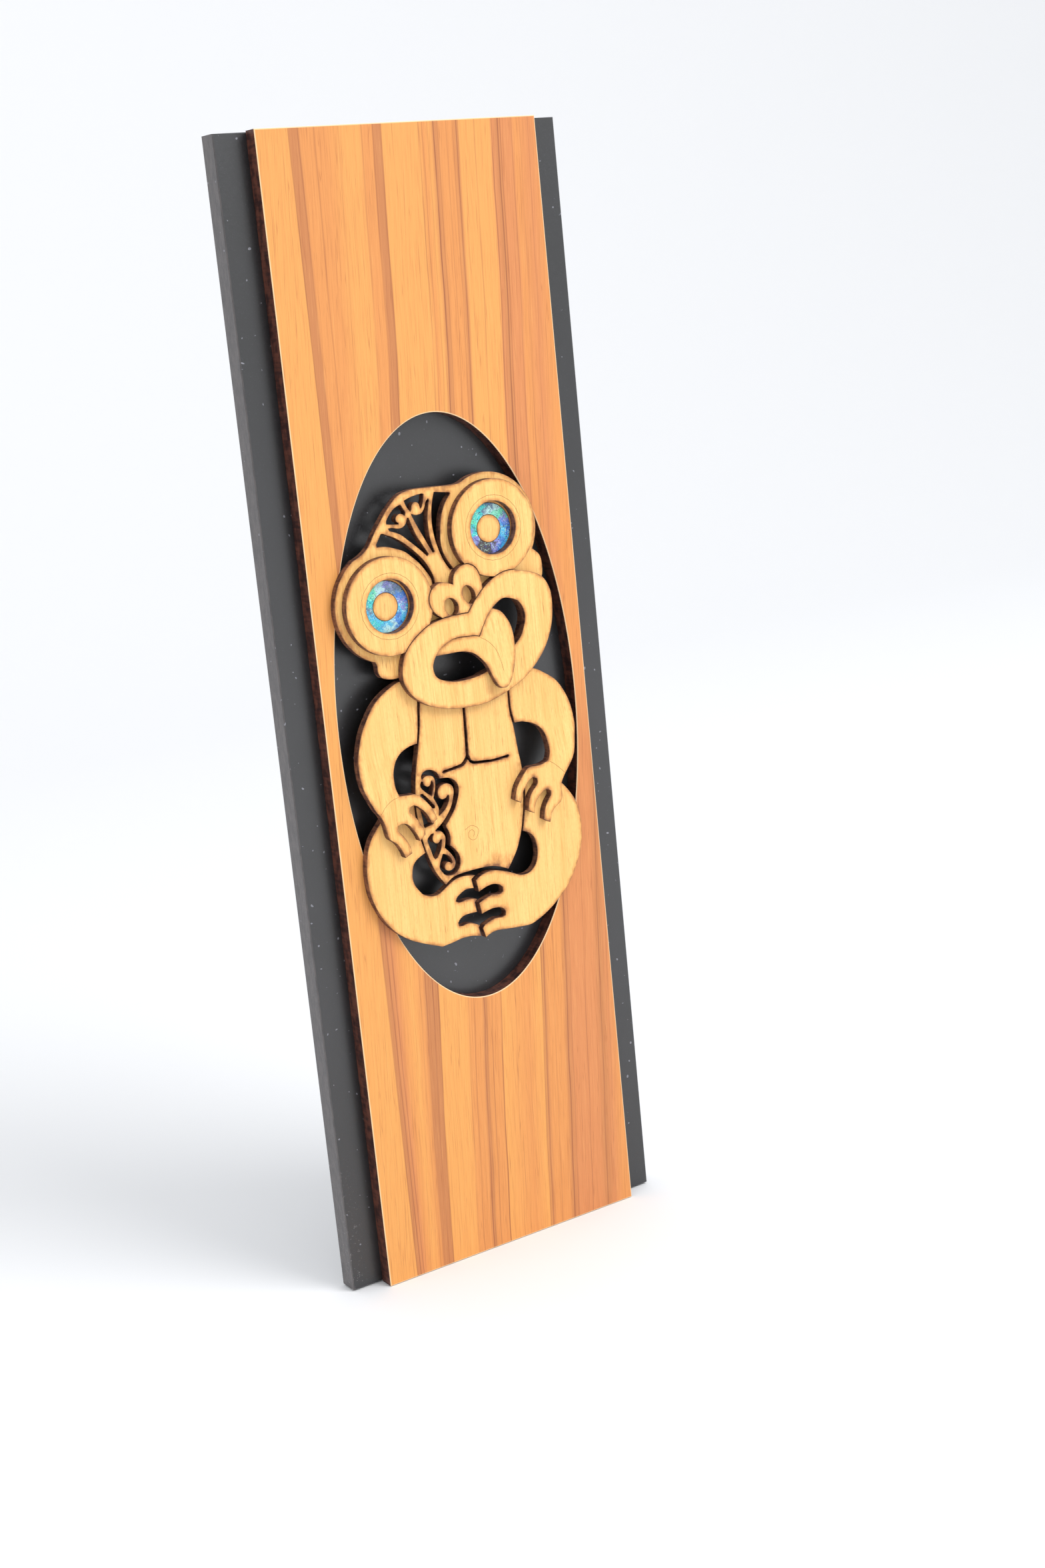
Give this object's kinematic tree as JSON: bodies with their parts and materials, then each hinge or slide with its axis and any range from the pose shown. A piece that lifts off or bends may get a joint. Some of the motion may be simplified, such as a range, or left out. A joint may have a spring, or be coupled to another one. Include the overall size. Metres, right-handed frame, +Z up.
{
  "type": "tiki wall panel",
  "caption": "Layered wall panel: dark backing board, veneered panel with an oval opening, and a seated cut-wood tiki figure with shell-ringed eyes standing in front of it.",
  "frame": {"origin": "centre of the flat back face, which lies against the wall", "axes": "+Y into the wall, -Y out of the front, +Z up along the panel, +X to the right as seen from the front"},
  "size_m": [0.131, 0.0239, 0.4],
  "materials": {
    "black_board": "fibreboard painted a flat charcoal black",
    "rimu_veneer": "satin orange-brown timber veneer with upright grain and laser-browned edges",
    "pale_wood": "pale honey-coloured sheet wood, fine upright grain, laser-browned edges",
    "paua_shell": "polished iridescent shell, blue to green to violet"
  },
  "bodies": {
    "root": {"backing_board": "black_board", "veneer_panel": "rimu_veneer", "head_plate": "pale_wood", "torso": "pale_wood", "left_leg": "pale_wood", "right_leg": "pale_wood", "left_arm": "pale_wood", "right_arm": "pale_wood", "left_eye_disc": "pale_wood", "right_eye_disc": "pale_wood", "left_paua_ring": "paua_shell", "right_paua_ring": "paua_shell", "nose": "pale_wood", "lips": "pale_wood", "tongue": "pale_wood"}
  },
  "joints": []
}
